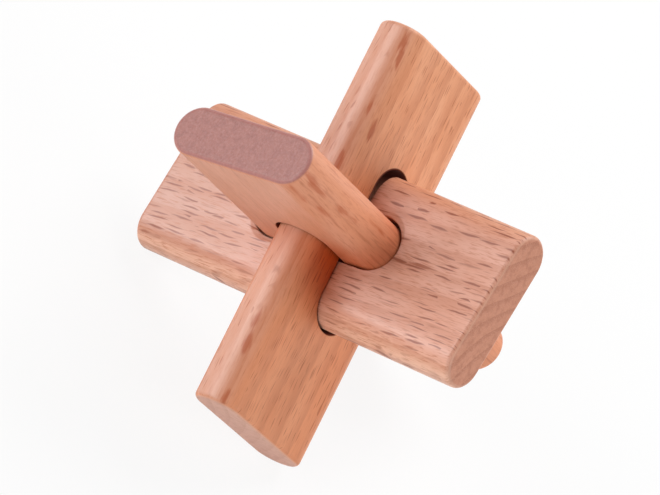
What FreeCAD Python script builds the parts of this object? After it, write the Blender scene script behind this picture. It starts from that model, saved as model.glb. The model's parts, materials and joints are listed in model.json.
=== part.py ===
import FreeCAD, Part
import math
import os

import Sketcher

# Three-bar burr puzzle in beech, locked together and standing on the lower ends of its bars.
# Each bar is a flat stick with full-round edges and one milled, round-ended slot at its middle.
# The key bar passes through the plain bar, the latch bar through the key bar, and the plain bar
# through the latch bar. The key and latch bars each have a gate, an opening from the slot out
# through one rail: drawing the key bar brings its gate over the latch bar's whole rail, which
# then slides out through it along the plain bar.
# Every bar is drawn flat: its length along X, its width along Y and its thickness along Z.

# Driving dimensions, in millimetres and degrees. A slot's offset is how far it lies off the
# middle of its bar's width, and its skew how far it is turned from the bar's length.
SIZES = (
    ("bar_length", 80.0, "Length of every bar"),
    ("bar_width", 32.0, "Width of every bar"),
    ("bar_thickness", 10.0, "Thickness of every bar, and twice the radius of its long edges"),
    ("end_easing", 1.0, "Radius sanded round each end face"),
    ("slot_end_play", 1.8, "Length of a slot beyond the width of the bar in it"),
    ("slot_side_play", 1.2, "Width of a slot beyond the thickness of the bar in it"),
    ("rim_easing", 0.3, "Radius sanded round the mouth of each slot"),
    ("plain_slot_offset", -0.85, "Offset of the plain bar's slot"),
    ("key_slot_offset", 0.95, "Offset of the key bar's slot"),
    ("latch_slot_offset", 0.35, "Offset of the latch bar's slot"),
    ("key_slot_skew", 3.9, "Skew of the key bar's slot"),
    ("key_gate_play", 1.2, "Width of the key bar's gate beyond the rail that leaves through it"),
    ("latch_gate_play", 2.6, "Width of the latch bar's gate beyond the thickness of the key bar"),
    ("latch_gate_offset", -0.7, "Offset of the latch bar's gate from the middle of its length"),
)

# How the bars have settled in each other, as shares of what the slots allow: each bar's shift
# along X, Y and Z as a share of the side play to one side, then its lean about X, its tilt about
# Y and its turn about Z as shares of the angle that a bar lying flat in a slot can turn.
SETTLED = {
    "plain_bar": ((0.27, 0.30, -0.25), (0.23, 0.11, 0.26)),
    "key_bar": ((-1.33, 0.63, 0.22), (0.0, 0.17, -0.26)),
    "latch_bar": ((0.0, 0.0, 0.0), (0.0, 0.0, 0.0)),
}

# The directions of the bars: a third of a turn about the line through (1, 1, 1) takes the key
# bar's length, width and thickness to those of the next bar.
THIRDS = {"key_bar": 0, "plain_bar": 1, "latch_bar": 2}
DIAGONAL = FreeCAD.Vector(1, 1, 1)
THIRD_OF_A_TURN = 120.0

SLOT_LENGTH = "Sizes.bar_width + Sizes.slot_end_play"
SLOT_WIDTH = "Sizes.bar_thickness + Sizes.slot_side_play"
LATCH_RAIL = f"Sizes.bar_width / 2 - Sizes.latch_slot_offset - ({SLOT_WIDTH}) / 2"

TOLERANCE = 1e-6


def make_sheet(doc):
    """The spreadsheet that holds the driving dimensions, one alias to a row."""
    sheet = doc.addObject("Spreadsheet::Sheet", "Sizes")
    for row, (alias, value, meaning) in enumerate(SIZES, start=1):
        sheet.set(f"A{row}", meaning)
        sheet.set(f"B{row}", str(value))
        sheet.setAlias(f"B{row}", alias)
    doc.recompute()
    return sheet


def add_sketch(body, name, role):
    """An empty sketch on one of the body's own origin planes."""
    plane = next(part for part in body.Origin.OriginFeatures if part.Role == role)
    sketch = body.newObject("Sketcher::SketchObject", name)
    sketch.AttachmentSupport = [(plane, "")]
    sketch.MapMode = "FlatFace"
    return sketch


def draw_stadium(sketch, span, depth):
    """A round-ended outline about the sketch's origin, span by depth: two arcs and two lines."""
    reach, radius = 20.0, 5.0
    quarter = math.pi / 2
    centre_right = FreeCAD.Vector(reach, 0, 0)
    centre_left = FreeCAD.Vector(-reach, 0, 0)
    rise = FreeCAD.Vector(0, radius, 0)
    up = FreeCAD.Vector(0, 0, 1)
    right = sketch.addGeometry(
        Part.ArcOfCircle(Part.Circle(centre_right, up, radius), -quarter, quarter), False
    )
    top = sketch.addGeometry(Part.LineSegment(centre_right + rise, centre_left + rise), False)
    left = sketch.addGeometry(
        Part.ArcOfCircle(Part.Circle(centre_left, up, radius), quarter, 3 * quarter), False
    )
    bottom = sketch.addGeometry(Part.LineSegment(centre_left - rise, centre_right - rise), False)
    outline = (right, top, left, bottom)
    start, end, centre = 1, 2, 3
    for here, after in zip(outline, outline[1:] + outline[:1]):
        sketch.addConstraint(Sketcher.Constraint("Tangent", here, end, after, start))
    origin, x_axis = -1, -1
    sketch.addConstraint(Sketcher.Constraint("Equal", right, left))
    sketch.addConstraint(Sketcher.Constraint("PointOnObject", right, centre, x_axis))
    sketch.addConstraint(
        Sketcher.Constraint("Symmetric", right, centre, left, centre, origin, start)
    )
    rounding = sketch.addConstraint(Sketcher.Constraint("Radius", right, radius))
    spacing = sketch.addConstraint(
        Sketcher.Constraint("DistanceX", left, centre, right, centre, 2 * reach)
    )
    sketch.setExpression(f"Constraints[{rounding}]", f"({depth}) / 2")
    sketch.setExpression(f"Constraints[{spacing}]", f"({span}) - ({depth})")


def draw_gate(sketch, width, outward):
    """A rectangle centred on Y, from the middle of the bar out past one long edge."""
    half, far = 5.0, outward * 30.0
    corners = (
        FreeCAD.Vector(-half, 0, 0),
        FreeCAD.Vector(half, 0, 0),
        FreeCAD.Vector(half, far, 0),
        FreeCAD.Vector(-half, far, 0),
    )
    start, end = 1, 2
    sides = [
        sketch.addGeometry(Part.LineSegment(corner, after), False)
        for corner, after in zip(corners, corners[1:] + corners[:1])
    ]
    inner, right, outer, left = sides
    for here, after in zip(sides, sides[1:] + sides[:1]):
        sketch.addConstraint(Sketcher.Constraint("Coincident", here, end, after, start))
    for side in (inner, outer):
        sketch.addConstraint(Sketcher.Constraint("Horizontal", side))
    for side in (right, left):
        sketch.addConstraint(Sketcher.Constraint("Vertical", side))
    origin = -1
    sketch.addConstraint(
        Sketcher.Constraint("Symmetric", inner, start, inner, end, origin, start)
    )
    across = sketch.addConstraint(
        Sketcher.Constraint("DistanceX", inner, start, inner, end, 2 * half)
    )
    near, beyond = ((right, start), (right, end)) if outward > 0 else ((right, end), (right, start))
    along = sketch.addConstraint(Sketcher.Constraint("DistanceY", *near, *beyond, abs(far)))
    sketch.setExpression(f"Constraints[{across}]", width)
    sketch.setExpression(f"Constraints[{along}]", "Sizes.bar_width")


def cut_through(body, sketch, name):
    """A pocket both ways through the bar, which has to take wood away."""
    before = body.Shape.Volume
    pocket = body.newObject("PartDesign::Pocket", name)
    pocket.Profile = sketch
    pocket.Type = "ThroughAll"
    pocket.SideType = "Symmetric"
    body.Document.recompute()
    if not pocket.Shape.Volume < before - TOLERANCE:
        raise RuntimeError(f"{body.Label}: {name} cuts nothing")
    return pocket


def ease_edges(body, feature, name, radius, wanted):
    """A fillet along every edge of the feature for which wanted is true."""
    names = [
        f"Edge{number}"
        for number, edge in enumerate(feature.Shape.Edges, start=1)
        if wanted(edge.BoundBox)
    ]
    fillet = body.newObject("PartDesign::Fillet", name)
    fillet.Base = (feature, names)
    fillet.setExpression("Radius", radius)
    body.Document.recompute()
    return fillet


def make_bar(doc, label, slot_offset, slot_skew="0", gate_width=None, gate_offset="0", side=1):
    """One bar of the puzzle, drawn flat about the origin, with its gate if it has one."""
    sheet = doc.getObject("Sizes")
    half_length = sheet.bar_length / 2
    body = doc.addObject("PartDesign::Body", label)
    body.Label = label

    section = add_sketch(body, f"{label}_section", "YZ_Plane")
    draw_stadium(section, "Sizes.bar_width", "Sizes.bar_thickness")
    blank = body.newObject("PartDesign::Pad", f"{label}_blank")
    blank.Profile = section
    blank.SideType = "Symmetric"
    blank.setExpression("Length", "Sizes.bar_length")
    doc.recompute()

    def round_an_end(box):
        return box.XLength < TOLERANCE and abs(box.XMin) > half_length - TOLERANCE

    ease_edges(body, blank, f"{label}_ends", "Sizes.end_easing", round_an_end)

    opening = add_sketch(body, f"{label}_slot_outline", "XY_Plane")
    draw_stadium(opening, SLOT_LENGTH, SLOT_WIDTH)
    opening.setExpression("AttachmentOffset.Base.y", slot_offset)
    opening.setExpression("AttachmentOffset.Rotation.Angle", slot_skew)
    slot = cut_through(body, opening, f"{label}_slot")

    def round_the_mouth(box):
        return box.ZLength < TOLERANCE and max(-box.XMin, box.XMax) < sheet.bar_width

    ease_edges(body, slot, f"{label}_mouth", "Sizes.rim_easing", round_the_mouth)

    if gate_width:
        way_out = add_sketch(body, f"{label}_gate_outline", "XY_Plane")
        draw_gate(way_out, gate_width, side)
        way_out.setExpression("AttachmentOffset.Base.x", gate_offset)
        cut_through(body, way_out, f"{label}_gate")
    return body


def settled_place(sheet, label):
    """Where a bar lies in the locked puzzle, seen along the length of the latch bar."""
    shares, angles = SETTLED[label]
    centred = {
        "plain_bar": (sheet.latch_slot_offset, -sheet.key_slot_offset, -sheet.plain_slot_offset),
        "key_bar": (0.0, -sheet.key_slot_offset, 0.0),
        "latch_bar": (0.0, 0.0, 0.0),
    }
    skew = {"key_bar": -sheet.key_slot_skew}
    free_turn = math.degrees(
        math.asin(sheet.slot_side_play / (sheet.bar_width - sheet.bar_thickness))
    )
    lean, tilt, turn = (share * free_turn for share in angles)
    settled = FreeCAD.Rotation(turn + skew.get(label, 0.0), tilt, lean)
    direction = FreeCAD.Rotation(DIAGONAL, THIRDS[label] * THIRD_OF_A_TURN)
    shift = FreeCAD.Vector(*shares) * (sheet.slot_side_play / 2)
    return FreeCAD.Placement(FreeCAD.Vector(*centred[label]) + shift, settled * direction)


def furthest_point(sheet, place, direction):
    """The point of a placed bar that lies furthest in a direction."""
    radius = sheet.bar_thickness / 2
    easing = sheet.end_easing
    flat = sheet.bar_width / 2 - radius
    local = place.Rotation.inverted().multVec(direction).normalize()
    around = FreeCAD.Vector(0, local.y, local.z).normalize() * (radius - easing)
    corner = FreeCAD.Vector(
        math.copysign(sheet.bar_length / 2 - easing, local.x), math.copysign(flat, local.y), 0
    )
    return place.multVec(corner + around + local * easing)


def stand_up(sheet, places):
    """The move that stands the locked bars on a table, on three ends, about the origin."""
    key, plain, latch = (places[name] for name in ("key_bar", "plain_bar", "latch_bar"))
    up = FreeCAD.Vector(DIAGONAL).normalize()
    level = False
    while not level:
        feet = [furthest_point(sheet, place, -up) for place in (key, plain, latch)]
        square = (feet[1] - feet[0]).cross(feet[2] - feet[0]).normalize()
        level = square.getAngle(up) < TOLERANCE
        up = square
    along_key = key.Rotation.multVec(FreeCAD.Vector(1, 0, 0))
    forward = (along_key - up * along_key.dot(up)).normalize()
    upright = FreeCAD.Rotation(forward, up.cross(forward), up, "ZXY").inverted()
    axes = (forward, up.cross(forward))
    middle = []
    for axis in axes:
        ends = [
            furthest_point(sheet, place, axis * way).dot(axis)
            for place in (key, plain, latch)
            for way in (-1, 1)
        ]
        middle.append((min(ends) + max(ends)) / 2)
    table = feet[0].dot(up)
    return FreeCAD.Placement(FreeCAD.Vector(-middle[0], -middle[1], -table), upright)


def check(doc, bodies):
    """Stops the build if any object of the document failed."""
    for item in doc.Objects:
        if "Invalid" in item.State or "Error" in item.State:
            raise RuntimeError(f"{item.Label} failed: {item.State}")
    for body in bodies:
        if body.Shape.isNull() or not body.Shape.isValid() or len(body.Shape.Solids) != 1:
            raise RuntimeError(f"{body.Label} is not one sound solid")


def main():
    doc = FreeCAD.newDocument("burr_puzzle")
    sheet = make_sheet(doc)
    key_gate = f"{LATCH_RAIL} + Sizes.key_gate_play"
    latch_gate = "Sizes.bar_thickness + Sizes.latch_gate_play"
    bodies = [
        make_bar(doc, "plain_bar", "Sizes.plain_slot_offset"),
        make_bar(doc, "key_bar", "Sizes.key_slot_offset", "Sizes.key_slot_skew", key_gate),
        make_bar(
            doc,
            "latch_bar",
            "Sizes.latch_slot_offset",
            gate_width=latch_gate,
            gate_offset="Sizes.latch_gate_offset",
            side=-1,
        ),
    ]
    places = {body.Label: settled_place(sheet, body.Label) for body in bodies}
    standing = stand_up(sheet, places)
    for body in bodies:
        body.Placement = standing * places[body.Label]
    doc.recompute()
    check(doc, bodies)
    os.makedirs("parts", exist_ok=True)
    for body in bodies:
        body.Shape.exportStep(f"parts/{body.Label}.step")


main()
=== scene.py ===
import json
import math

import bpy
from mathutils import Matrix, Vector


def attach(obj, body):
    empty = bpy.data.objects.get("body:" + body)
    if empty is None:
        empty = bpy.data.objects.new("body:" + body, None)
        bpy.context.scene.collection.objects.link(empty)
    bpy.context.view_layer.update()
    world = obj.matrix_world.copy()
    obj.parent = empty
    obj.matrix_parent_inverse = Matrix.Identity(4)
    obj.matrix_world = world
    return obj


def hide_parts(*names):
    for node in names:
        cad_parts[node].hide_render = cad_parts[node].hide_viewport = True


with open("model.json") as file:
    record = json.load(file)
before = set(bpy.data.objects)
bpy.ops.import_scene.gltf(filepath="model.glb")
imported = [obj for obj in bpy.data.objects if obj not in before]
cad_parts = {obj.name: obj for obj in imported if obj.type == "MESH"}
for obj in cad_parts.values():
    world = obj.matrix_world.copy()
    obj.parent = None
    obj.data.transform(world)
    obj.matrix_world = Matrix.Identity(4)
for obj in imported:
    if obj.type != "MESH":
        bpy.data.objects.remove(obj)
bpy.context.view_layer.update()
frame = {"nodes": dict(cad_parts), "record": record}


# Plain bar. A flat stick of steamed beech with full-round edges, sawn from a plank, milled
# through with one round-ended slot and sanded smooth all over. The key bar passes through its
# slot, and it passes through the slot of the latch bar itself. Nothing but the crossings holds it.

BAR_LENGTH = 0.080
BAR_WIDTH = 0.032
BAR_THICKNESS = 0.010
END_EASING = 0.001
SLOT_END_PLAY = 0.0018
SLOT_SIDE_PLAY = 0.0012
SLOT_LENGTH = BAR_WIDTH + SLOT_END_PLAY
SLOT_WIDTH = BAR_THICKNESS + SLOT_SIDE_PLAY
RIM_EASING = 0.0003
PLAIN_SLOT_OFFSET = -0.00085
MILLIMETRES = 1000.0
ALONG, ACROSS, SQUARE = (1, 0, 0), (0, 1, 0), (0, 0, 1)


class Wired:
    """One socket of a node tree. Sums on it add Math nodes, and node() adds any other node."""

    def __init__(self, tree, socket=None):
        self.tree = tree
        self.socket = socket

    def node(self, kind, settings=None, values=None, out=0):
        """A new node: its settings, then the values or links of its sockets, and one output."""
        made = self.tree.nodes.new(kind)
        for name, setting in (settings or {}).items():
            setattr(made, name, setting)
        for name, value in (values or {}).items():
            if isinstance(value, Wired):
                self.tree.links.new(value.socket, made.inputs[name])
            else:
                made.inputs[name].default_value = value
        return Wired(self.tree, made.outputs[out]) if made.outputs else None

    def sum(self, operation, *values):
        """A Math node on numbers and wired values."""
        return self.node("ShaderNodeMath", {"operation": operation}, dict(enumerate(values)))

    def __add__(self, other):
        return self.sum("ADD", self, other)

    def __radd__(self, other):
        return self.sum("ADD", other, self)

    def __sub__(self, other):
        return self.sum("SUBTRACT", self, other)

    def __rsub__(self, other):
        return self.sum("SUBTRACT", other, self)

    def __mul__(self, other):
        return self.sum("MULTIPLY", self, other)

    def __rmul__(self, other):
        return self.sum("MULTIPLY", other, self)

    def __truediv__(self, other):
        return self.sum("DIVIDE", self, other)

    def __pow__(self, other):
        return self.sum("POWER", self, other)

    def __abs__(self):
        return self.sum("ABSOLUTE", self)

    def between(self, low, high):
        """0 below low, 1 above high and a soft step from one to the other."""
        return self.node(
            "ShaderNodeMapRange",
            {"interpolation_type": "SMOOTHSTEP"},
            {0: self, 1: low, 2: high},
        )

    def held(self, low, high):
        """The value itself, held between low and high."""
        return self.sum("MINIMUM", self.sum("MAXIMUM", self, low), high)


def bar_tree():
    """The node tree that shapes a bar: a rounded blank, less its slot, less its gate."""
    round_spans, round_steps = 4, 28
    blank_spans, blank_steps = 5, 9
    slot_spans, slot_steps = 7, 6
    seam = 1e-6
    past_face = 0.001
    gate_cutter_depth = 0.03
    soft_below = math.radians(32)
    quarter = math.pi / 2

    tree = bpy.data.node_groups.new("bar", "GeometryNodeTree")
    sizes = (
        "Length", "Width", "Thickness", "End easing", "Slot length", "Slot width",
        "Slot offset", "Slot skew", "Rim easing", "Gate width", "Gate offset", "Gate side",
    )
    for name in sizes:
        tree.interface.new_socket(name, in_out="INPUT", socket_type="NodeSocketFloat")
    tree.interface.new_socket("Wood", in_out="INPUT", socket_type="NodeSocketMaterial")
    tree.interface.new_socket("Bar", in_out="OUTPUT", socket_type="NodeSocketGeometry")
    start = Wired(tree)
    entry = tree.nodes.new("NodeGroupInput")
    given = {name: Wired(tree, entry.outputs[name]) for name in (*sizes, "Wood")}
    grid_place = start.node("GeometryNodeInputPosition")
    u = start.node("ShaderNodeSeparateXYZ", None, {0: grid_place}, 0) + 0.5
    v = start.node("ShaderNodeSeparateXYZ", None, {0: grid_place}, 1) + 0.5

    def span(value, number):
        """How far a value has gone through its numbered span, from 0 to 1."""
        return (value - number).held(0.0, 1.0)

    def vector(**parts):
        """A vector of the parts that are given, with 0 for the others."""
        return start.node(
            "ShaderNodeCombineXYZ", None, {"xyz".index(axis): part for axis, part in parts.items()}
        )

    def round_ended(reach, radius):
        """A point of a round-ended outline: its place along the reach and to the side."""
        turn = u * round_spans
        angle = (span(turn, 0) + span(turn, 2)) * math.pi - quarter
        middle = reach * (1.0 - span(turn, 1) * 2.0 + span(turn, 3) * 2.0)
        return (
            middle + radius * start.sum("COSINE", angle),
            radius * start.sum("SINE", angle),
        )

    def skin(rows, x, y, z):
        """A closed solid whose skin is a grid set to the given points."""
        columns = round_spans * round_steps + 1
        grid = start.node(
            "GeometryNodeMeshGrid",
            None,
            {"Size X": 1.0, "Size Y": 1.0, "Vertices X": columns, "Vertices Y": rows},
        )
        moved = start.node(
            "GeometryNodeSetPosition", None, {"Geometry": grid, "Position": vector(x=x, y=y, z=z)}
        )
        return start.node(
            "GeometryNodeMergeByDistance", None, {"Geometry": moved, "Distance": seam}
        )

    def less(whole, cutter):
        """A solid with another cut out of it."""
        return start.node(
            "GeometryNodeMeshBoolean",
            {"operation": "DIFFERENCE", "solver": "EXACT"},
            {"Mesh 1": whole, "Mesh 2": cutter},
        )

    # The blank, in five spans along the bar: one end closes, its edge is eased, the sides run
    # on, the other edge is eased and the other end closes.
    half_thickness = given["Thickness"] * 0.5
    easing = given["End easing"]
    rise = v * blank_spans
    first = span(rise, 1) * quarter
    last = span(rise, 3) * quarter
    radius = (half_thickness - easing) * (span(rise, 0) - span(rise, 4)) + easing * (
        start.sum("SINE", first) + start.sum("COSINE", last) - 1.0
    )
    along = (
        given["Length"] * -0.5
        + easing * (1.0 - start.sum("COSINE", first) + start.sum("SINE", last))
        + (given["Length"] - easing * 2.0) * span(rise, 2)
    )
    side, out = round_ended((given["Width"] - given["Thickness"]) * 0.5, radius)
    blank = skin(blank_spans * blank_steps + 1, along, side, out)

    # The slot's cutter, in seven spans through the bar: it starts clear of the face, narrows
    # over the eased rim, runs straight and does the same the other way round.
    rim = given["Rim easing"]
    rise = v * slot_spans
    first = (1.0 - span(rise, 2)) * quarter
    last = span(rise, 4) * quarter
    flare = rim * (2.0 - start.sum("COSINE", first) - start.sum("COSINE", last))
    radius = (given["Slot width"] * 0.5 + flare) * (span(rise, 0) - span(rise, 6))
    depth = (
        (half_thickness + past_face) * -1.0
        + past_face * (span(rise, 1) + span(rise, 5))
        + rim * (1.0 - start.sum("SINE", first) + start.sum("SINE", last))
        + (given["Thickness"] - rim * 2.0) * span(rise, 3)
    )
    ahead, side = round_ended((given["Slot length"] - given["Slot width"]) * 0.5, radius)
    slot_cutter = start.node(
        "GeometryNodeTransform",
        None,
        {
            "Geometry": skin(slot_spans * slot_steps + 1, ahead, side, depth),
            "Translation": vector(y=given["Slot offset"]),
            "Rotation": vector(z=given["Slot skew"]),
        },
    )
    slotted = less(blank, slot_cutter)

    # The gate, for the bars that have one: a straight cut from the slot out through one rail.
    gate_size = vector(x=given["Gate width"], y=given["Width"], z=gate_cutter_depth)
    gate_cutter = start.node(
        "GeometryNodeTransform",
        None,
        {
            "Geometry": start.node("GeometryNodeMeshCube", None, {"Size": gate_size}),
            "Translation": vector(
                x=given["Gate offset"], y=given["Width"] * 0.5 * given["Gate side"]
            ),
        },
    )
    has_gate = start.node(
        "FunctionNodeCompare", {"operation": "GREATER_THAN"}, {0: given["Gate width"], 1: 0.0}
    )
    whole = start.node(
        "GeometryNodeSwitch",
        {"input_type": "GEOMETRY"},
        {"Switch": has_gate, "False": slotted, "True": less(slotted, gate_cutter)},
    )

    # The rounds are smooth, and the corners where the gate and the slot meet stay crisp.
    angle = start.node("GeometryNodeInputMeshEdgeAngle")
    soft = start.node("FunctionNodeCompare", {"operation": "LESS_THAN"}, {0: angle, 1: soft_below})
    smooth = start.node(
        "GeometryNodeSetShadeSmooth",
        {"domain": "EDGE"},
        {"Geometry": whole, "Shade Smooth": soft},
    )
    real = start.node("GeometryNodeRealizeInstances", None, {"Geometry": smooth})
    wooden = start.node(
        "GeometryNodeSetMaterial", None, {"Geometry": real, "Material": given["Wood"]}
    )
    leaving = tree.nodes.new("NodeGroupOutput")
    tree.links.new(wooden.socket, leaving.inputs["Bar"])
    return tree


def axes(along, across, through):
    """The turn that lays a thing's own three axes along the given ones."""
    return Matrix((along, across, through)).transposed().to_4x4()


def lie_of(node):
    """How a bar lies: its middle, then along it, across it and square to its upper flat face."""
    square_enough = 0.01
    mount = next(m for m in frame["record"]["mounts"] if m["name"] == f"{node}_upper_end")
    along = Vector(mount["axis"]).normalized()
    flats = {}
    for face in frame["nodes"][node].data.polygons:
        if abs(face.normal.dot(along)) < square_enough and face.normal.z > 0:
            key = tuple(round(c, 2) for c in face.normal)
            area, normal = flats.get(key, (0, Vector()))
            flats[key] = (area + face.area, normal + face.normal * face.area)
    square = max(flats.values(), key=lambda flat: flat[0])[1].normalized()
    across = square.cross(along).normalized()
    middle = Vector(mount["pos_m"]) - along * BAR_LENGTH / 2
    return Matrix.Translation(middle) @ axes(along, across, along.cross(across))


def beech(name, lie, look):
    """Steamed beech, sanded and oiled, with its grain nearly along the bar that lies as given.

    Lengths in a look are in millimetres: along the bar, across it and through its flat faces.
    """
    made = bpy.data.materials.new(name)
    made.use_nodes = True
    made.node_tree.nodes.clear()
    start = Wired(made.node_tree)
    wood = lie @ Matrix.Rotation(math.radians(look["grain"]), 4, "Z")
    to_wood = wood.inverted()
    place = start.node(
        "ShaderNodeMapping",
        {"vector_type": "POINT"},
        {
            "Vector": start.node("ShaderNodeTexCoord", None, None, "Object"),
            "Location": to_wood.translation * MILLIMETRES,
            "Rotation": to_wood.to_euler(),
            "Scale": (MILLIMETRES,) * 3,
        },
    )
    facing = start.node("ShaderNodeTexCoord", None, None, "Normal")

    def part(vector, axis):
        """One part of a vector, by the number of its axis."""
        return start.node("ShaderNodeSeparateXYZ", None, {0: vector}, axis)

    def facing_along(direction):
        """How far the surface faces one way or the other along a direction, from 0 to 1."""
        return abs(
            start.node(
                "ShaderNodeVectorMath",
                {"operation": "DOT_PRODUCT"},
                {0: facing, 1: wood.to_3x3() @ Vector(direction).normalized()},
                "Value",
            )
        )

    def noise(along, across, seed, detail=2.0, rough=0.5):
        """Soft noise, with so many waves to the millimetre along the grain and across it."""
        scaled = start.node(
            "ShaderNodeMapping",
            None,
            {"Vector": place, "Location": seed, "Scale": (along, across, across)},
        )
        return start.node(
            "ShaderNodeTexNoise",
            None,
            {"Vector": scaled, "Scale": 1.0, "Detail": detail, "Roughness": rough},
        )

    def mix(amount, one, other, kind="MIX"):
        """So much of the other colour laid over the one, or multiplied into it."""
        return start.node(
            "ShaderNodeMix",
            {"data_type": "RGBA", "blend_type": kind},
            {0: amount, 6: one, 7: other},
            2,
        )

    def far_from(x_away, y_away):
        """How far off a place is, from how far off it is each way."""
        return start.sum("SQRT", x_away * x_away + y_away * y_away)

    # The rings lie round the pith of the log, and stray from true circles by a few millimetres.
    x, y, z = (part(place, axis) for axis in range(3))
    pith_y, pith_z = look["pith"]
    wander = noise(along=0.03, across=0.05, seed=(7.1, 3.3, 1.9)) - 0.5
    waver = noise(along=0.16, across=0.3, seed=(2.7, 8.3, 4.4)) - 0.5
    wander_y, wander_z, waver_y, waver_z = 3.0, 2.0, 0.5, 0.4
    from_y = y - pith_y + wander * wander_y + waver * waver_y
    from_z = z - pith_z + wander * wander_z - waver * waver_z
    radius = far_from(from_y, from_z)
    around = start.sum("ARCTAN2", from_y, from_z) * math.hypot(pith_y, pith_z)
    early_to_late, late_to_early = (0.3, 0.9), (0.93, 1.0)
    ring = start.sum("FRACT", radius / look["ring"])
    late = ring.between(*early_to_late) * (1.0 - ring.between(*late_to_early))

    # Which way the surface faces decides how much of the end grain and of the rays it shows.
    bark_facing = (0.15, 0.6)
    end_on = facing_along(ALONG)
    end = end_on.between(*look["end_reach"])
    side = 1.0 - end
    barkward = facing_along((0, -pith_y, -pith_z)).between(*bark_facing)

    def rays(spacing, size, seeds, chance, softness):
        """Rays seen end on: spindles along the grain, pointed at both ends and in loose rows."""
        row_depth, looseness, bend, chance_reach = 9.0, 0.8, 0.8, 0.35
        shortest, thinnest = 0.55, 0.6
        ahead = x / spacing[0] + seeds[0]
        across = around / spacing[1] + seeds[1]
        inward = radius / row_depth + seeds[2]
        at = start.node("ShaderNodeCombineXYZ", None, {0: ahead, 1: across, 2: inward})
        cells = {"Vector": at, "Scale": 1.0, "Randomness": looseness}
        nearest = start.node("ShaderNodeTexVoronoi", {"feature": "F1"}, cells, "Position")
        kind = start.node("ShaderNodeTexVoronoi", {"feature": "F1"}, cells, "Color")
        lot = start.node("ShaderNodeSeparateColor", None, {0: kind}, 0)
        other_lot = start.node("ShaderNodeSeparateColor", None, {0: kind}, 1)
        length = (shortest + other_lot * (1.0 - shortest)) * size[0]
        thickness = (thinnest + lot * (1.0 - thinnest)) * (size[1] / 2)
        share = (ahead - part(nearest, 0)) * spacing[0] / (length / 2)
        away = abs((across - part(nearest, 1)) * spacing[1] + waver * size[1] * bend)
        inside = thickness * (1.0 - share * share) - away
        return inside.between(-softness, softness) * lot.between(chance, chance + chance_reach)

    bold_seeds, slim_seeds = (3.7, 6.29, 8.51), (11.3, 19.21, 25.99)
    bold = rays(look["bold_spacing"], look["bold"], bold_seeds, look["bold_chance"], 0.09)
    slim = rays(look["slim_spacing"], look["slim"], slim_seeds, look["slim_chance"], 0.05)
    fibre = noise(along=0.22, across=2.4, seed=(1.3, 5.1, 2.2), detail=3.0, rough=0.62)
    thread = noise(along=0.38, across=3.6, seed=(6.3, 1.1, 7.2), rough=0.55)
    cloud = noise(along=0.06, across=0.16, seed=(4.0, 9.0, 6.0), detail=3.0)
    patch = noise(along=0.22, across=0.6, seed=(3.0, 2.0, 8.0))

    # The flat faces and the rounded edges, each with its own tint, and painted light laid on: a
    # paler tint towards one end of the bar, where light and sheen fall.
    rounded_facing, cloud_range, edge_turn = (0.25, 0.95), (0.3, 0.7), 3.0
    rounded = facing_along(ACROSS).between(*rounded_facing)
    painted_light = x.between(*look["painted_light_reach"])
    flat_colour = mix(cloud.between(*cloud_range), look["deep"], look["light"])
    flat_colour = mix(painted_light * look["painted_light_on_flats"], flat_colour, look["painted_light"], "MULTIPLY")
    # On the key bar the paler lower edge is painted light, standing in for the light on that side.
    edge_colour = mix(y.between(-edge_turn, edge_turn), look["low_edge"], look["edge"])
    edge_colour = mix(painted_light * look["painted_light_on_edges"], edge_colour, look["painted_light"], "MULTIPLY")
    colour = mix(rounded, flat_colour, edge_colour)

    # The late wood of the rings, the fibres and the red patches.
    fibre_range, thread_range, patch_range = (0.45, 0.75), (0.5, 0.72), (0.58, 0.8)
    lost_barkward = 0.7
    colour = mix(late * side * look["ring_strength"], colour, look["late"])
    colour = mix(fibre.between(*fibre_range) * look["fibre_strength"], colour, look["late"])
    colour = mix(thread.between(*thread_range) * look["thread_strength"], colour, look["late"])
    blushed = patch.between(*patch_range) * (1.0 - barkward * lost_barkward) * side
    colour = mix(blushed * look["patch_strength"], colour, look["patch"])

    # The flecks of the rays, which show most on the faces that look towards the bark or the pith.
    least_shown = 0.25
    shown = side * (least_shown + barkward * (1.0 - least_shown))
    colour = mix(slim * shown * look["slim_strength"], colour, look["fleck"])
    colour = mix(bold * shown * look["bold_strength"], colour, look["fleck"])

    # Ragged orange spots, each at its own place on the bar.
    bent, frayed, spot_range = 3.5, 2.2, (0.3, 1.5)
    long, wide = look["spot"]
    squeezed = start.node(
        "ShaderNodeMapping", None, {"Vector": place, "Scale": (1 / long, 1 / wide, 1 / wide)}
    )
    for spot in look["spots"]:
        at = Matrix.Rotation(math.radians(-look["grain"]), 3, "Z") @ Vector(spot)
        away = start.node(
            "ShaderNodeVectorMath",
            {"operation": "DISTANCE"},
            {0: squeezed, 1: (at.x / long, at.y / wide, at.z / wide)},
            "Value",
        )
        near = 1.0 - (away + waver * bent + (fibre - 0.5) * frayed).between(*spot_range)
        colour = mix(near * look["spot_strength"], colour, look["spot_colour"])

    # Painted shade: a brown darkening round the crossing, where the bars lie close together and
    # shade each other.
    painted_shade_colour, shade_range = (0.92, 0.34, 0.0, 1), (0.1, 1.0)
    inner_x, inner_y, inner_size = look["inner"]
    inward = far_from(x - inner_x, y - inner_y) / inner_size
    inner = (1.0 - inward.between(*shade_range)) * look["inner_strength"]
    colour = mix(inner, colour, painted_shade_colour, "MULTIPLY")
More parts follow.
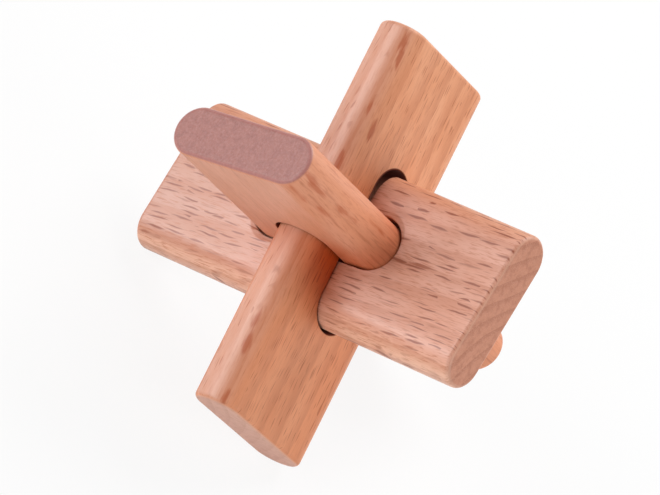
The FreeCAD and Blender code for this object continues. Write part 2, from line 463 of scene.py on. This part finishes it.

    # The end grain: rings and a mottle of cut fibres, and a painted highlight: a lighter rim where
    # the end is eased.
    grid_range, blotch_range, rim_facing = (0.42, 0.68), (0.4, 0.75), (0.9, 0.99)
    mottle = look["end_mottle"]
    grid = noise(
        along=0.4, across=look["end_fineness"], seed=(9.0, 2.0, 5.0), detail=3.0, rough=0.75
    )
    blotch = noise(along=0.2, across=0.7, seed=(1.0, 6.0, 3.0), detail=3.0, rough=0.6)
    cut = mix(late * late * look["end_rings"], look["end"], look["end_late"])
    cut = mix(grid.between(*grid_range) * mottle, cut, look["end_light"])
    cut = mix(blotch.between(*blotch_range) * mottle, cut, look["end_late"])
    rim = 1.0 - end_on.between(*rim_facing)
    cut = mix(rim * look["end_rim_highlight_strength"], cut, look["end_rim_highlight"])
    colour = mix(end, colour, cut)

    # Painted shade on the milled walls of the slot: they are darkened where little light reaches
    # them.
    painted_wall_shade, wall_range = (0.16, 0.05, 0.03, 1), (0.1, 0.35)
    slot_reach = (SLOT_LENGTH - SLOT_WIDTH) / 2 * MILLIMETRES
    past_reach = start.sum("MAXIMUM", abs(x) - slot_reach, 0.0)
    to_side = y - look["slot_y"] - x * look["slot_slope"]
    from_slot = start.sum("SQRT", past_reach**2 + to_side**2) - SLOT_WIDTH / 2 * MILLIMETRES
    wall = 1.0 - from_slot.between(*wall_range)
    colour = mix(wall * look["painted_wall_shade_strength"], colour, painted_wall_shade, "MULTIPLY")

    # Fine relief: raised threads and fibres, and rays sunk a little below them.
    thread_rise, fibre_rise, bold_sink, slim_sink = 0.25, 0.3, 0.5, 0.3
    rise = thread * thread_rise + fibre * fibre_rise - (bold * bold_sink + slim * slim_sink) * side
    relief = start.node(
        "ShaderNodeBump", None, {"Strength": 0.2, "Distance": 0.0001, "Height": rise}
    )

    # Sanded wood is least rough on its sides and roughest in the slot. The oil shines along the
    # crests of the edges, on the flat faces up to where they are worn, and on the ends.
    sanded, fibre_rough, end_rough, wall_rough = 0.4, 0.14, 0.1, 0.5
    rough = sanded + fibre * fibre_rough + end * end_rough + wall * wall_rough
    crest_facing, flat_facing, crest_bend = (0.78, 0.93), (0.9, 0.99), 0.2
    worn_slant, worn_dull, fibre_gain, fibre_loss = 0.5, 0.75, 3.0, 0.5
    on_crest, on_flat, on_end = look["polish"]
    crest = (facing_along(ACROSS) + waver * crest_bend).between(*crest_facing)
    flat = facing_along(SQUARE).between(*flat_facing)
    worn = (x * worn_slant + y).between(*look["worn"])
    polish = crest * on_crest + flat * on_flat * (1.0 - worn * worn_dull) + end * on_end
    polish = polish * (1.0 - wall) * (fibre * fibre_gain - fibre_loss)
    shader = start.node(
        "ShaderNodeBsdfPrincipled",
        None,
        {
            "Base Color": colour,
            "Roughness": rough,
            "Normal": relief,
            "Specular IOR Level": 0.35,
            "Coat Weight": polish.held(0.0, 1.0),
            "Coat Roughness": look["sheen_roughness"],
        },
    )
    start.node("ShaderNodeOutputMaterial", None, {"Surface": shader})
    return made


def srgb(red, green, blue):
    """A colour as it is seen, out of 255, turned into amounts of light by the usual curve."""
    amounts = (part / 255 for part in (red, green, blue))
    light = (
        part / 12.92 if part <= 0.04045 else ((part + 0.055) / 1.055) ** 2.4 for part in amounts
    )
    return (*light, 1)


def fitted_bar(node, wood, lie, cuts):
    """A bar made by the tree, laid where its solid is, in place of that solid."""
    mesh = bpy.data.meshes.new(f"{node}_wood")
    bar = bpy.data.objects.new(f"{node}_wood", mesh)
    bpy.context.scene.collection.objects.link(bar)
    shaping = bar.modifiers.new("bar", "NODES")
    shaping.node_group = BAR_TREE
    sizes = {
        "Length": BAR_LENGTH, "Width": BAR_WIDTH, "Thickness": BAR_THICKNESS,
        "End easing": END_EASING, "Slot length": SLOT_LENGTH, "Slot width": SLOT_WIDTH,
        "Slot offset": 0.0, "Slot skew": 0.0, "Rim easing": RIM_EASING,
        "Gate width": 0.0, "Gate offset": 0.0, "Gate side": 1.0, "Wood": wood, **cuts,
    }
    for item in BAR_TREE.interface.items_tree:
        if item.in_out == "INPUT":
            shaping[item.identifier] = sizes[item.name]
    bpy.context.view_layer.update()
    shaped = bar.evaluated_get(bpy.context.evaluated_depsgraph_get())
    whole = bpy.data.meshes.new_from_object(shaped)
    bar.modifiers.remove(shaping)
    bar.data = whole
    whole.transform(lie)
    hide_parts(node)
    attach(bar, node)


BAR_TREE = bar_tree()

plain_lie = lie_of("plain_bar")
plain_look = {
    "grain": 1.5,
    "pith": (26.0, -32.0),
    "ring": 3.1,
    "ring_strength": 0.35,
    "light": srgb(224, 150, 108),
    "deep": srgb(217, 138, 94),
    # Painted light: a paler tint towards one end of the bar.
    "painted_light": (1.02, 1.15, 1.27, 1),
    "painted_light_reach": (-30.0, 30.0),
    "painted_light_on_flats": 1.0,
    "painted_light_on_edges": 0.0,
    "edge": srgb(206, 147, 121),
    "low_edge": srgb(206, 146, 116),
    "late": srgb(180, 104, 64),
    "fleck": srgb(158, 78, 30),
    "patch": srgb(168, 88, 52),
    "patch_strength": 0.45,
    "bold_spacing": (5.0, 1.1),
    "bold": (3.6, 0.3),
    "bold_chance": 0.7,
    "bold_strength": 0.65,
    "slim_spacing": (4.2, 0.8),
    "slim": (3.4, 0.13),
    "slim_chance": 0.2,
    "slim_strength": 0.75,
    "fibre_strength": 0.2,
    "thread_strength": 0.3,
    "end": srgb(208, 155, 133),
    "end_late": srgb(188, 128, 104),
    "end_light": srgb(222, 174, 154),
    "end_rings": 0.5,
    "end_mottle": 0.55,
    "end_fineness": 4.0,
    # Painted highlight on the eased rim of the end.
    "end_rim_highlight": srgb(214, 164, 140),
    "end_rim_highlight_strength": 0.5,
    "end_reach": (0.6, 0.92),
    "spots": (
        (-21.9, 15.5, 2.1), (-27.6, 15.4, 2.4), (-38.6, 14.7, 3.1), (36.5, 14.9, 3.2),
        (33.4, 14.4, 3.7), (22.8, 14.9, 3.2), (19.0, 13.0, 4.6), (10.5, 15.2, 2.6),
    ),
    "spot": (1.9, 0.5),
    "spot_strength": 0.75,
    "spot_colour": srgb(168, 84, 50),
    # Painted shade: the brown darkening round the crossing.
    "inner": (-4.0, 5.0, 16.0),
    "inner_strength": 0.9,
    # Painted shade: the darkening of the slot walls.
    "painted_wall_shade_strength": 0.97,
    "slot_y": PLAIN_SLOT_OFFSET * MILLIMETRES,
    "slot_slope": 0.0,
    "polish": (0.9, 0.1, 0.2),
    "sheen_roughness": 0.4,
    "worn": (90.0, 99.0),
}
plain_wood = beech("plain_bar_beech", plain_lie, plain_look)
plain_cuts = {"Slot offset": PLAIN_SLOT_OFFSET}
fitted_bar("plain_bar", plain_wood, plain_lie, plain_cuts)


# Key bar. The same beech stick with its slot milled a little off the middle and a little askew,
# and a hidden gate sawn from the slot out through one rail, as wide as the latch bar's own rail.
# The latch bar passes through its slot. The key bar is slid out to open the puzzle.

KEY_SLOT_OFFSET = 0.00095
KEY_SLOT_SKEW = math.radians(3.9)
LATCH_SLOT_OFFSET = 0.00035
LATCH_RAIL = BAR_WIDTH / 2 - LATCH_SLOT_OFFSET - SLOT_WIDTH / 2
KEY_GATE_PLAY = 0.0012

key_lie = lie_of("key_bar")
key_look = {
    **plain_look,
    "grain": 4.0,
    "pith": (-30.0, -34.0),
    "ring": 2.9,
    "light": srgb(200, 152, 136),
    "deep": srgb(195, 142, 122),
    # Painted light: a paler tint towards one end of the bar.
    "painted_light": (1.17, 1.11, 1.05, 1),
    "painted_light_reach": (-20.0, 8.0),
    "edge": srgb(216, 152, 118),
    # Painted light: the key bar's lower edge is paler, for the light on that side.
    "low_edge": srgb(230, 182, 157),
    "late": srgb(178, 108, 76),
    "fleck": srgb(138, 72, 50),
    "patch": srgb(188, 104, 64),
    "bold_spacing": (6.0, 1.2),
    "bold": (5.7, 0.32),
    "bold_chance": 0.1,
    "bold_strength": 0.9,
    "slim_spacing": (4.4, 0.9),
    "slim": (3.0, 0.14),
    "slim_strength": 0.3,
    "fibre_strength": 0.3,
    "thread_strength": 0.7,
    "end": srgb(190, 126, 98),
    "end_late": srgb(158, 94, 66),
    "end_light": srgb(204, 148, 124),
    "end_rings": 0.6,
    "spots": ((-38.1, -14.0, 4.0), (23.7, 1.3, 5.0), (10.8, -15.0, 3.0), (19.3, 0.4, 5.0)),
    "spot": (2.4, 0.3),
    "spot_colour": srgb(140, 66, 36),
    # Painted shade: the brown darkening round the crossing.
    "inner": (2.0, -9.0, 8.5),
    "inner_strength": 0.75,
    # Painted shade: the darkening of the slot walls.
    "painted_wall_shade_strength": 0.1,
    "slot_y": KEY_SLOT_OFFSET * MILLIMETRES,
    "slot_slope": math.tan(KEY_SLOT_SKEW),
    "polish": (0.2, 0.85, 0.2),
    "sheen_roughness": 0.3,
    "worn": (-6.0, 20.0),
}
key_wood = beech("key_bar_beech", key_lie, key_look)
key_cuts = {
    "Slot offset": KEY_SLOT_OFFSET,
    "Slot skew": KEY_SLOT_SKEW,
    "Gate width": LATCH_RAIL + KEY_GATE_PLAY,
}
fitted_bar("key_bar", key_wood, key_lie, key_cuts)


# Latch bar. The same beech stick with a wider gate, sawn through its hidden rail where the key
# bar crosses it. The plain bar passes through its slot, and once the key bar is drawn, the latch
# bar comes off along the plain bar.

LATCH_GATE_PLAY = 0.0026
LATCH_GATE_OFFSET = -0.0007
LATCH_GATE_SIDE = -1.0

latch_lie = lie_of("latch_bar")
latch_look = {
    **plain_look,
    "grain": 0.5,
    "pith": (-36.0, 16.0),
    "ring": 3.6,
    "ring_strength": 0.12,
    "light": srgb(220, 153, 123),
    "deep": srgb(211, 141, 107),
    # Painted light: a paler tint towards one end of the edges.
    "painted_light_reach": (5.0, 35.0),
    "painted_light_on_flats": 0.0,
    "painted_light_on_edges": 0.6,
    "edge": srgb(218, 143, 106),
    "low_edge": srgb(218, 144, 107),
    "late": srgb(182, 106, 68),
    "fleck": srgb(166, 82, 44),
    "patch": srgb(184, 100, 60),
    "patch_strength": 0.5,
    "bold_spacing": (8.0, 1.5),
    "bold": (9.0, 0.3),
    "bold_chance": 0.35,
    "bold_strength": 0.38,
    "slim_spacing": (6.0, 1.3),
    "slim": (5.0, 0.16),
    "slim_strength": 0.25,
    "fibre_strength": 0.25,
    "thread_strength": 0.4,
    "end": srgb(144, 82, 72),
    "end_late": srgb(122, 62, 54),
    "end_light": srgb(168, 106, 98),
    "end_rings": 0.2,
    "end_mottle": 0.5,
    "end_fineness": 1.7,
    # Painted highlight on the eased rim of the end.
    "end_rim_highlight": srgb(172, 112, 106),
    "end_reach": (0.35, 0.7),
    "spots": (
        (38.4, 15.8, -1.5), (33.6, 15.6, -2.0), (35.4, 13.4, -4.4), (23.1, 15.7, -1.6),
        (28.5, 14.2, -3.9), (12.0, 15.9, 0.8),
    ),
    "spot": (3.2, 0.5),
    "spot_strength": 0.7,
    "spot_colour": srgb(182, 88, 44),
    # Painted shade: the brown darkening round the crossing.
    "inner": (6.0, 8.0, 12.0),
    "inner_strength": 0.55,
    "slot_y": LATCH_SLOT_OFFSET * MILLIMETRES,
    "polish": (0.2, 0.3, 0.8),
}
latch_wood = beech("latch_bar_beech", latch_lie, latch_look)
latch_cuts = {
    "Slot offset": LATCH_SLOT_OFFSET,
    "Gate width": BAR_THICKNESS + LATCH_GATE_PLAY,
    "Gate offset": LATCH_GATE_OFFSET,
    "Gate side": LATCH_GATE_SIDE,
}
fitted_bar("latch_bar", latch_wood, latch_lie, latch_cuts)


# Table. A plain matt white sheet under the three lower ends. It shows as bright as the room
# behind it, and keeps a little of the puzzle's shadow, which fades out away from the middle.

TABLE_SIZE = 6.0
TABLE_WHITE = 0.9
SHADOW_KEPT = 0.12
SHADOW_REACH = (0.04, 0.3)

floor_mesh = bpy.data.meshes.new("floor")
half = TABLE_SIZE / 2
corners = [(-half, -half, 0), (half, -half, 0), (half, half, 0), (-half, half, 0)]
floor_mesh.from_pydata(corners, [], [(0, 1, 2, 3)])
floor = bpy.data.objects.new("floor", floor_mesh)
bpy.context.scene.collection.objects.link(floor)


def seen(start):
    """1 for the rays that show the background: straight, mirrored or through glass."""
    straight = start.node("ShaderNodeLightPath", None, None, "Is Camera Ray")
    mirrored = start.node("ShaderNodeLightPath", None, None, "Is Glossy Ray")
    through = start.node("ShaderNodeLightPath", None, None, "Is Transmission Ray")
    return start.sum("MAXIMUM", start.sum("MAXIMUM", straight, mirrored), through)


paper = bpy.data.materials.new("white_table")
paper.use_nodes = True
paper.node_tree.nodes.clear()
start = Wired(paper.node_tree)
matt = start.node("ShaderNodeBsdfDiffuse", None, {"Color": (*(TABLE_WHITE,) * 3, 1)})
glow = start.node("ShaderNodeEmission", None, {"Color": (1, 1, 1, 1), "Strength": 1.0})
out_from_middle = start.node(
    "ShaderNodeVectorMath",
    {"operation": "LENGTH"},
    {0: start.node("ShaderNodeTexCoord", None, None, "Object")},
    "Value",
)
kept = (1.0 - out_from_middle.between(*SHADOW_REACH)) * SHADOW_KEPT
table = start.node("ShaderNodeMixShader", None, {0: seen(start) * (1.0 - kept), 1: matt, 2: glow})
start.node("ShaderNodeOutputMaterial", None, {"Surface": table})
floor_mesh.materials.append(paper)


# Room. White walls far off all round, which are seen as plain white and give the puzzle only a
# faint, even light of their own.

ROOM_LIGHT = 0.05

room = bpy.data.worlds.new("white_room")
room.use_nodes = True
room.node_tree.nodes.clear()
start = Wired(room.node_tree)
even = start.node("ShaderNodeBackground", None, {"Color": (1, 1, 1, 1), "Strength": ROOM_LIGHT})
white = start.node("ShaderNodeBackground", None, {"Color": (1, 1, 1, 1), "Strength": 1.0})
walls = start.node("ShaderNodeMixShader", None, {0: seen(start), 1: even, 2: white})
start.node("ShaderNodeOutputWorld", None, {"Surface": walls})
bpy.context.scene.world = room


# Camera. A long lens about a metre off, 41 degrees above the table and rolled by 37 degrees,
# so that the bars stand aslant.

CAMERA_RIGHT = Vector((0.57698, 0.67768, 0.45589))
CAMERA_UP = Vector((-0.76028, 0.24168, 0.60297))
CAMERA_BACK = Vector((0.29844, -0.69451, 0.65467))
CAMERA_DISTANCE = 1.1005
LENS_LENGTH = 321.5
CROSSING = Vector((0, 0, 0.033))
AIM_LEFT, AIM_DOWN = 0.00135, 0.00139
AIM = CROSSING - CAMERA_RIGHT * AIM_LEFT - CAMERA_UP * AIM_DOWN

lens = bpy.data.cameras.new("camera")
lens.sensor_width = 36
lens.lens = LENS_LENGTH
lens.clip_start = 0.01
camera = bpy.data.objects.new("camera", lens)
bpy.context.scene.collection.objects.link(camera)
camera.matrix_world = Matrix.Translation(AIM + CAMERA_BACK * CAMERA_DISTANCE) @ axes(
    CAMERA_RIGHT, CAMERA_UP, CAMERA_BACK
)
bpy.context.scene.camera = camera


# Lamps. Four soft boxes a little over a metre from the crossing and turned to it: a tall one low
# at the left, one low at the right, a large one high behind and a small one low in front.

LAMP_DISTANCE = 1.2


def soft_lamp(name, azimuth, elevation, width, height, power):
    """A soft box, placed by its angles in degrees and turned to what the camera looks at."""
    lamp = bpy.data.lights.new(name, "AREA")
    lamp.shape = "RECTANGLE"
    lamp.size = width
    lamp.size_y = height
    lamp.energy = power
    stand = bpy.data.objects.new(name, lamp)
    bpy.context.scene.collection.objects.link(stand)
    turn, rise = math.radians(azimuth), math.radians(elevation)
    back = Vector(
        (math.cos(rise) * math.cos(turn), math.cos(rise) * math.sin(turn), math.sin(rise))
    )
    turned = back.to_track_quat("Z", "Y").to_matrix().to_4x4()
    stand.matrix_world = Matrix.Translation(AIM + back * LAMP_DISTANCE) @ turned
    stand.visible_camera = False


soft_lamp("left_lamp", azimuth=-136, elevation=19, width=0.7, height=1.2, power=12.0)
soft_lamp("right_lamp", azimuth=12, elevation=17, width=0.6, height=0.6, power=6.8)
soft_lamp("back_lamp", azimuth=98, elevation=46, width=0.9, height=0.9, power=14.0)
soft_lamp("front_lamp", azimuth=-90, elevation=12, width=0.5, height=0.5, power=4.2)

bpy.context.scene.view_settings.view_transform = "Standard"
